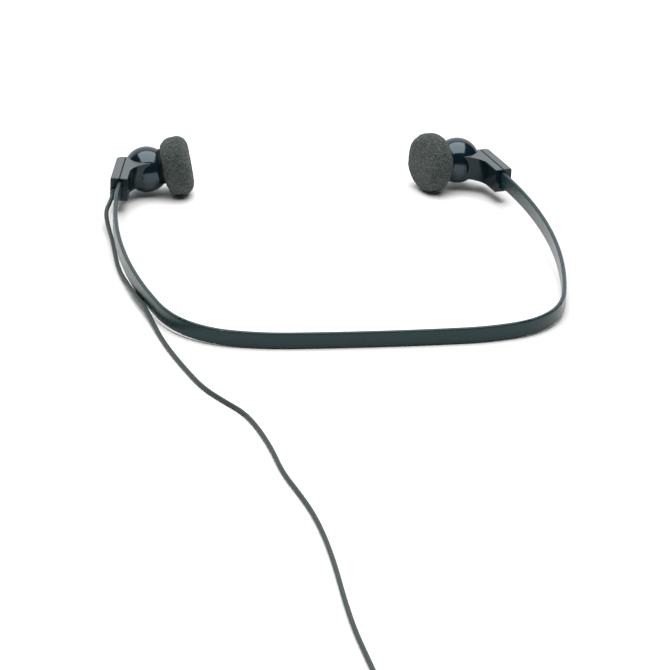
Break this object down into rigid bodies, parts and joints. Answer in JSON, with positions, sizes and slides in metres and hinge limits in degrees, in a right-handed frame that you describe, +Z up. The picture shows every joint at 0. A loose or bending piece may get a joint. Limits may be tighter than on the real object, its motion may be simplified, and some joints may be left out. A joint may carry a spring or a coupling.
{
  "type": "under-chin radio headphones",
  "caption": "Under-chin stereo headphones: a sprung flat strip bent to a U, swivelling round capsules with foam pads, and a cord with a 3.5 mm plug.",
  "frame": {"origin": "on the table below the middle of the set, the cord left out", "axes": "+Z up from the table, +Y from the chin bend to the ear capsules, +X to the right of someone looking at the chin bend"},
  "size_m": [0.1518, 0.452, 0.0213],
  "materials": {
    "strip_cover": "satin extruded plastic",
    "spring_steel": "rolled spring steel",
    "copper_lead": "enamelled copper",
    "block_plastic": "satin moulded plastic",
    "stem_plastic": "moulded nylon",
    "capsule_plastic": "polished moulded plastic",
    "neck_plastic": "moulded black ring",
    "driver_plastic": "moulded basket",
    "driver_steel": "plated steel",
    "diaphragm_film": "thin polyester film",
    "foam": "open-cell foam",
    "cord_jacket": "matt PVC",
    "tie_plastic": "plastic tie",
    "grip_plastic": "moulded grip",
    "contact_metal": "nickel plate",
    "insulator": "black insulating ring"
  },
  "bodies": {
    "band": {"band_cover": "strip_cover", "band_spring": "spring_steel", "crossover_wire": "copper_lead", "housing_outer_left": "block_plastic", "housing_inner_left": "block_plastic", "anchor_pin_left": "spring_steel", "housing_outer_right": "block_plastic", "housing_inner_right": "block_plastic", "anchor_pin_right": "spring_steel", "cord_grommet": "cord_jacket", "cord_lead": "cord_jacket", "cord_tail": "cord_jacket", "cord_coil": "cord_jacket", "coil_tie": "tie_plastic", "plug_relief": "cord_jacket", "plug_grip": "grip_plastic", "plug_sleeve": "contact_metal", "plug_insulator_rear": "insulator", "plug_ring": "contact_metal", "plug_insulator_front": "insulator", "plug_tip": "contact_metal"},
    "stem_left": {"swivel_stem_left": "stem_plastic"},
    "ear_left": {"capsule_upper_left": "capsule_plastic", "capsule_lower_left": "capsule_plastic", "pivot_pin_left": "spring_steel", "neck_ring_left": "neck_plastic", "driver_frame_left": "driver_plastic", "driver_yoke_left": "driver_steel", "driver_magnet_left": "driver_steel", "driver_pole_plate_left": "driver_steel", "driver_diaphragm_left": "diaphragm_film", "driver_grille_left": "driver_steel", "foam_pad_left": "foam"},
    "stem_right": {"swivel_stem_right": "stem_plastic"},
    "ear_right": {"capsule_upper_right": "capsule_plastic", "capsule_lower_right": "capsule_plastic", "pivot_pin_right": "spring_steel", "neck_ring_right": "neck_plastic", "driver_frame_right": "driver_plastic", "driver_yoke_right": "driver_steel", "driver_magnet_right": "driver_steel", "driver_pole_plate_right": "driver_steel", "driver_diaphragm_right": "diaphragm_film", "driver_grille_right": "driver_steel", "foam_pad_right": "foam"}
  },
  "joints": [
    {"name": "stem_turn_left", "type": "hinge", "parent": "band", "child": "stem_left", "pos_m": [-0.0566, 0.07233, 0.00906], "axis": [-0.7071, -0.7063, -0.0337], "range_deg": [-15, 15]},
    {"name": "capsule_swivel_left", "type": "hinge", "parent": "stem_left", "child": "ear_left", "pos_m": [-0.0566, 0.07233, 0.00906], "axis": [-0.19, 0.1439, 0.9712], "range_deg": [-15, 15]},
    {"name": "stem_turn_right", "type": "hinge", "parent": "band", "child": "stem_right", "pos_m": [0.0559, 0.07229, 0.00984], "axis": [0.7071, -0.7063, -0.0337], "range_deg": [-15, 15]},
    {"name": "capsule_swivel_right", "type": "hinge", "parent": "stem_right", "child": "ear_right", "pos_m": [0.0559, 0.07229, 0.00984], "axis": [0.0531, 0.0056, 0.9986], "range_deg": [-15, 15]}
  ]
}
